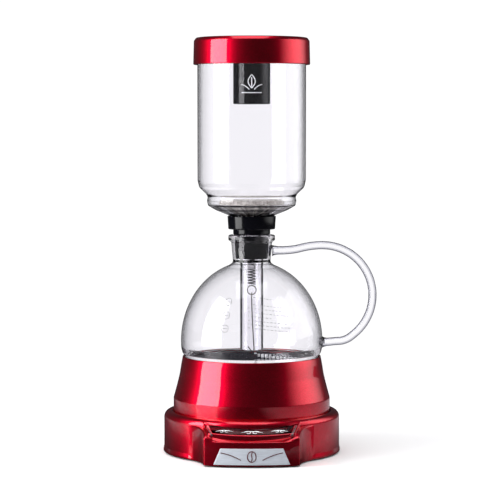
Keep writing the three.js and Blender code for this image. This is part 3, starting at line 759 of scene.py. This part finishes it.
flask_material = clear_glass("blown_glass", (0.6, 0.6, 0.65), 0.45, 1.0)
dome = arc((0, 92), (58.6, 66), 0, 71.6, 30)
dome_inside = arc((0, 92), (56.8, 64.2), 71, 0, 30)
flask = turned("flask", rounded(
    [(53.4, 79, 0.4), (54.8, 79, 0.6), (57.3, 82.1, 3), (58.4, 86.4, 6)] + dome
    + [(15.4, 157, 3), (15.9, 162, 8), (16.9, 173.6, 1.5), (19.3, 175.4, 1.2), (19.2, 179.4, 1.2), (16.6, 179.9, 0.8),
       (15.1, 173.6, 4), (13.7, 159, 3)] + dome_inside + [(56.6, 86.8, 6), (55.4, 82.9, 3)], closed=True, steps=4
), crease=60)
fitted(flask, "jug", "clear_glass", flask_material, "flask_glass")
bow = [(58.5 + 41.5 * math.cos(a), 0, 129.5 + 41.5 * math.sin(a)) for a in (1.52 - 2.62 * k / 12 for k in range(13))]
handle = wire("handle_rod", [
    [(16.6, 0, 166.6, 1.4), (18.2, 0, 166.7, 1.2), (22, 0, 166.7, 1.02), (27.5, 0, 166.8), (36, 0, 167.7), (44, 0, 169.5),
     (51, 0, 170.6)] + bow + [(67.8, 0, 91.2), (62.5, 0, 90.7, 1.02), (60.2, 0, 90.6, 1.15), (58.55, 0, 90.6, 1.4)]
], 3.4, 6)
# The rod's glass is painted near black at its edges, with a grey streak of painted shade between its middle and its
# edge.
fitted(handle, "jug", "clear_glass", clear_glass("rod_glass", (0.06, 0.06, 0.08), 0.06, 0.38, line=0.15), "flask_handle")

# Brewing chamber. A straight blown bowl that steps in to a waist and a funnel floor, with the
# stem drawn out below it, one piece of glass.
BOWL_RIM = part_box("upper_glass")[1].z / MM
bowl = turned("bowl_and_stem", rounded([
    (43.8, BOWL_RIM, 0.6), (44.7, BOWL_RIM - 0.5, 0.8), (44.7, 225, 5), (43.4, 219, 5), (37.4, 213.2, 5), (36.3, 210.8, 2.6), (36.9, 207.6, 3),
    (36.0, 203.8, 2), (29.5, 200.1, 8), (15, 194.2, 6), (9.9, 191.4, 3), (9.5, 187, 8), (9.5, 84.6, 0.5), (8, 84.6, 0.5),
    (8, 188, 8), (8.4, 192.8, 3), (14.2, 196.1, 6), (28.6, 202, 6), (34.2, 205, 2), (34.8, 208.2, 2), (34.4, 211.6, 2.4),
    (41.2, 218.6, 5), (42.7, 223.4, 4), (42.7, BOWL_RIM - 0.2, 0.6),
], closed=True), crease=60)
fitted(bowl, "upper_chamber", "clear_glass", clear_glass("chamber_glass", (0.55, 0.55, 0.6), 0.62, 1.0), "upper_glass", "siphon_stem")

# Stopper. A black rubber bung on the stem: a plug for the flask's neck, a waist and a wide
# collar under the bowl.
bung = turned("stopper_bung", rounded([
    (9.6, 160, 0.3), (13.2, 160, 0.6), (14.6, 178.6, 1), (15.3, 181, 1), (15.3, 184.4, 0.4), (19.3, 184.4, 0.9), (20, 195.4, 1),
    (18.6, 195.2, 0.8), (14.8, 193.5, 1), (11, 191.4, 0.8), (9.6, 190.4, 0.3),
], closed=True))
fitted(bung, "upper_chamber", "black_rubber", rubber, "stopper")

# Filter. A perforated steel disc in a napped cotton bag, gathered under it with a drawstring
# into pleats. The bag is one round of cloth, and its pleats are pulled in by formula. The cloth
# has blotchy brown stains, and the pleats' valleys by the gather are painted dark as shade.
repainted(satin_steel, "filter_disc")
BAG = [(0, 209.2), (12, 209.3, 8), (24.5, 208, 3), (27.7, 205.4, 2), (26.4, 203.2, 2), (19, 200.6, 4), (9.4, 197.2, 2), (6.9, 196.0, 1.2),
       (7.6, 194.5)]
bag = turned("filter_bag", rounded(BAG, steps=8), closed=False, steps=216, crease=180)
bag_bm = bmesh.new()
bag_bm.from_mesh(bag.data)
bmesh.ops.subdivide_edges(
    bag_bm, edges=[e for e in bag_bm.edges if e.calc_length() > 2.2 * MM], cuts=2, use_grid_fill=True
)
# The fold value is painted shade: high in the pleats' valleys by the gather, plus a little random ripple.
painted_fold_shade = bag_bm.verts.layers.float.new("fold")
for vert in bag_bm.verts:
    r = vert.co.xy.length / MM
    turn = math.atan2(vert.co.y, vert.co.x)
    z = vert.co.z / MM
    gather = max(0.0, min(1.0, (205.0 - z) / 3.2))
    wander = noise.noise(Vector((math.cos(turn) * 3, math.sin(turn) * 3, 4.2)))
    fold = math.sin(turn * 17 + 5 * wander) + 0.45 * math.sin(turn * 31 + 7 * wander)
    ripple = noise.noise(vert.co / MM * 0.22)
    vert[painted_fold_shade] = min(1.0, max(0.0, gather * (0.4 - 0.9 * fold))) + 0.1 * ripple
    if r > 0.01:
        sides = 0.22 * ripple + gather * (0.55 + 0.5 * (1 - r / 28)) * fold * min(1, r / 8)
        vert.co.z += (sides * 0.9 if gather else 0.12 * ripple * min(1, r / 5)) * MM
        grow = 1 + gather * 0.012 * fold + 0.004 * ripple
        vert.co.xy *= grow
bag_bm.to_mesh(bag.data)
bag_bm.free()
nap = bag.modifiers.new("thickness", "SOLIDIFY")
nap.thickness = 0.7 * MM
nap.offset = -1
applied(bag)
smooth(bag, 180)
flannel, tree, shader = new_finish("napped_flannel")
weave = textured(tree, "ShaderNodeTexNoise", 900, Detail=6, Roughness=0.7)
blotch = textured(tree, "ShaderNodeTexNoise", 380, Detail=6, Roughness=0.75)
cream = ramped(tree, blotch.outputs["Fac"], 0.42, 0.62, (0.72, 0.69, 0.65), (0.25, 0.21, 0.18))
# Painted shade: the fold value mixes the stained cloth towards near black brown in the pleats' valleys.
depth = tree.nodes.new("ShaderNodeAttribute")
depth.attribute_name = "fold"
stains_and_fold_shade = tree.nodes.new("ShaderNodeMix")
stains_and_fold_shade.data_type = "RGBA"
stains_and_fold_shade.inputs[7].default_value = (0.035, 0.022, 0.014, 1)
tree.links.new(depth.outputs["Fac"], stains_and_fold_shade.inputs[0])
tree.links.new(cream, stains_and_fold_shade.inputs[6])
tree.links.new(stains_and_fold_shade.outputs[2], shader.inputs["Base Color"])
shader.inputs["Roughness"].default_value = 0.95
shader.inputs["Sheen Weight"].default_value = 0.4
bumped(tree, shader, weave.outputs["Fac"], 0.00035, 0.8)
fitted(bag, "filter_head", "flannel", flannel, "filter_cloth")
string_line = [
    (7.0 * math.cos(a), 7.0 * math.sin(a), 195.6 + 0.2 * math.sin(3 * a)) for a in (k * math.pi / 10 for k in range(21))
]
string = wire("draw_string", [string_line], 0.5, 2)
fitted(string, "filter_head", "flannel", flannel, "filter_drawstring")

# Filter spring. A close coil of fine stainless wire down the stem. It runs between the steel ring
# below, which stays with the chamber, and the disc above.
COILS = 26
spring_line = []
for k in range(COILS * 14 + 1):
    turn = 2 * math.pi * k / 14
    spring_line.append((3.0 * math.cos(turn), 3.0 * math.sin(turn), 138.6 + 59.2 * k / (COILS * 14)))
spring = wire("spring_coil", [spring_line], 0.45, 1, smooth_curve=False)
# The stainless coil is painted near black, as shade inside the glass stem.
spring.data.materials.append(painted_shade_steel)
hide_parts("filter_spring")
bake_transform(spring)

# Ring and hook. A split steel ring joins the spring to a long wire that hooks under the
# stem's front edge.
ring_line = [(3.7 * math.cos(a), 0, 134.0 + 3.7 * math.sin(a)) for a in (k * math.pi / 12 for k in range(25))]
split_ring = wire("split_ring", [ring_line], 0.45, 2)
# The ring and the hook wire take the same near black steel, painted as shade behind the glass.
fitted(split_ring, "upper_chamber", "bright_steel", painted_shade_steel, "spring_ring")
eye = [(0, 1.35 * math.sin(a), 130.3 + 1.35 * math.cos(a)) for a in (-2.1 + (2.1 + math.pi) * k / 8 for k in range(9))]
hook = wire("hook_rod", [eye + [
    (0, -0.6, 126), (0.6, -2, 108), (1.6, -4.5, 90), (1.8, -5.5, 85.4), (1.7, -7.2, 83.4), (1, -9.6, 83.4), (-0.6, -10.5, 84.8),
    (-3, -10.2, 88),
]], 0.45, 2)
fitted(hook, "upper_chamber", "bright_steel", painted_shade_steel, "hook_wire")

# Boiling chain. Steel beads on a fine wire, lying on the plate, where they start the bubbles.
BEADS = 13
PITCH = 3.45
chain_bm = bmesh.new()
place = Vector((3.2, -9.4, 81.6))
stops = []
for k in range(BEADS):
    stops.append(place.copy())
    heading = -0.42 - 0.02 * k
    drop = max(79.2, place.z - 1.6)
    run = math.sqrt(PITCH ** 2 - (place.z - drop) ** 2)
    place = Vector((place.x + run * math.cos(heading), place.y + run * math.sin(heading), drop))
    bmesh.ops.create_uvsphere(
        chain_bm, u_segments=18, v_segments=10, radius=1.3 * MM, matrix=Matrix.Translation(stops[-1] * MM)
    )
beads = finished("bead_row", chain_bm, 180)
bead_steel = brushed("bead_steel", (0.95, 0.95, 0.97), 0.3, (900, 900, 900), 0.7)
fitted(beads, "chain", "bright_steel", bead_steel, "boil_chain")
link = wire("bead_wire", [stops], 0.35, 1, smooth_curve=False)
link.data.materials.append(rubber)
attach(link, "chain")

# Lid. A red cap with a deep skirt and a low crown, a black liner inside, and a black tube that
# hangs in the chamber and holds it when the lid lies upside down.
LID_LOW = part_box("lid_cap")[0].z / MM
LID_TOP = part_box("lid_cap")[1].z / MM
cap = turned("lid_shell", rounded([
    (0, LID_TOP - 3.6), (45.2, LID_TOP - 3.6, 1), (45.7, LID_LOW, 0.4), (48.1, LID_LOW, 0.8),
    (47.6, LID_TOP - 3.2, 2.4), (45.8, LID_TOP - 0.7, 1.6), (44, LID_TOP - 0.4, 3), (0, LID_TOP),
]), closed=False)
fitted(cap, "lid", "red_plastic", red_plastic, "lid_cap")
LINER_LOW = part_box("lid_liner")[0].z / MM
liner = turned("liner_ring", rounded([
    (15.6, LINER_LOW, 0.4), (44, LINER_LOW, 0.5), (44, LID_TOP - 3.9, 0.3), (42.4, LID_TOP - 3.9, 0.3),
    (42.4, LINER_LOW + 2, 0.4), (15.6, LINER_LOW + 2, 0.4),
], closed=True), steps=96)
fitted(liner, "lid", "black_plastic", black_plastic, "lid_liner")
STAND_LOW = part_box("lid_stand_tube")[0].z / MM
STAND_R = 15.2
tube = turned("stand_tube", rounded([
    (0, LID_TOP - 8.1), (13.4, LID_TOP - 8.1, 0.6), (13.4, STAND_LOW, 0.5), (STAND_R, STAND_LOW, 0.7),
    (STAND_R, LID_TOP - 5.9), (20, LID_TOP - 5.9, 0.4), (20, LID_TOP - 3.9, 0.4), (0, LID_TOP - 3.9),
]), closed=False, steps=128)
fitted(tube, "lid", "gloss_black", gloss_black, "lid_stand_tube")

# Printing. A plain leaf and ring in white on the tube's front, and pale rows of level marks on
# the flask: thin coats of ink, drawn as fine raised lines.
white_ink = moulded("white_ink", (0.75, 0.76, 0.78), 0.5)
MARK_Z = STAND_LOW + 13


def on_tube(x, z):
    return (x, -math.sqrt((STAND_R + 0.05) ** 2 - x ** 2), z)


leaf = []
for side in (-1, 1):
    leaf.append([on_tube(side * 2.9 * math.sin(math.pi * t), MARK_Z + 11 * t) for t in (0, 0.2, 0.4, 0.6, 0.8, 1)])
    leaf.append([on_tube(side * (2 + 6.5 * t), MARK_Z - 1 + 7 * t - 3 * t * t) for t in (0, 0.35, 0.7, 1)])
leaf.append([on_tube(x, MARK_Z - 3.6) for x in (-8, -4, 0, 4, 8)])
leaf.append([on_tube(0, MARK_Z + 11 * t) for t in (0.1, 0.5, 0.8)])
tube_mark = wire("tube_mark", leaf, 0.42, 1)
tube_mark.data.materials.append(white_ink)
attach(tube_mark, "lid")


def on_flask(turn, z):
    r = 58.6 * math.sqrt(1 - ((z - 92) / 66) ** 2) + 0.04
    return (r * math.sin(turn), -r * math.cos(turn), z)


marks = []
for row, (z, first, last) in enumerate((
    (132, -0.02, 0.32), (126.5, 0.02, 0.46), (123.4, -0.06, 0.5), (120.2, -0.06, 0.56), (117, -0.06, 0.3),
    (113.8, -0.06, 0.5), (110.8, -0.06, 0.6), (107.8, -0.06, 0.58),
)):
    turn = first
    step = row
    while turn < last:
        length = 0.02 + 0.014 * (step * step % 4)
        marks.append([on_flask(turn + length * t, z - 7 * (turn + length * t)) for t in (0, 1)])
        turn += length + 0.028
        step += 1
for z in (128, 117.5, 107):
    ring_line = [on_flask(-0.39 + 0.055 * math.cos(a), z + 2.8 * math.sin(a)) for a in (k * math.pi / 4 for k in range(9))]
    marks.append(ring_line)
    marks.append([on_flask(-0.39 + 0.03 * t, z) for t in (-1, 0, 1)])
grey_ink = moulded("grey_ink", (0.12, 0.12, 0.13), 0.5)
print_rows = wire("flask_print", marks, 0.2, 0)
print_rows.data.materials.append(grey_ink)
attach(print_rows, "jug")
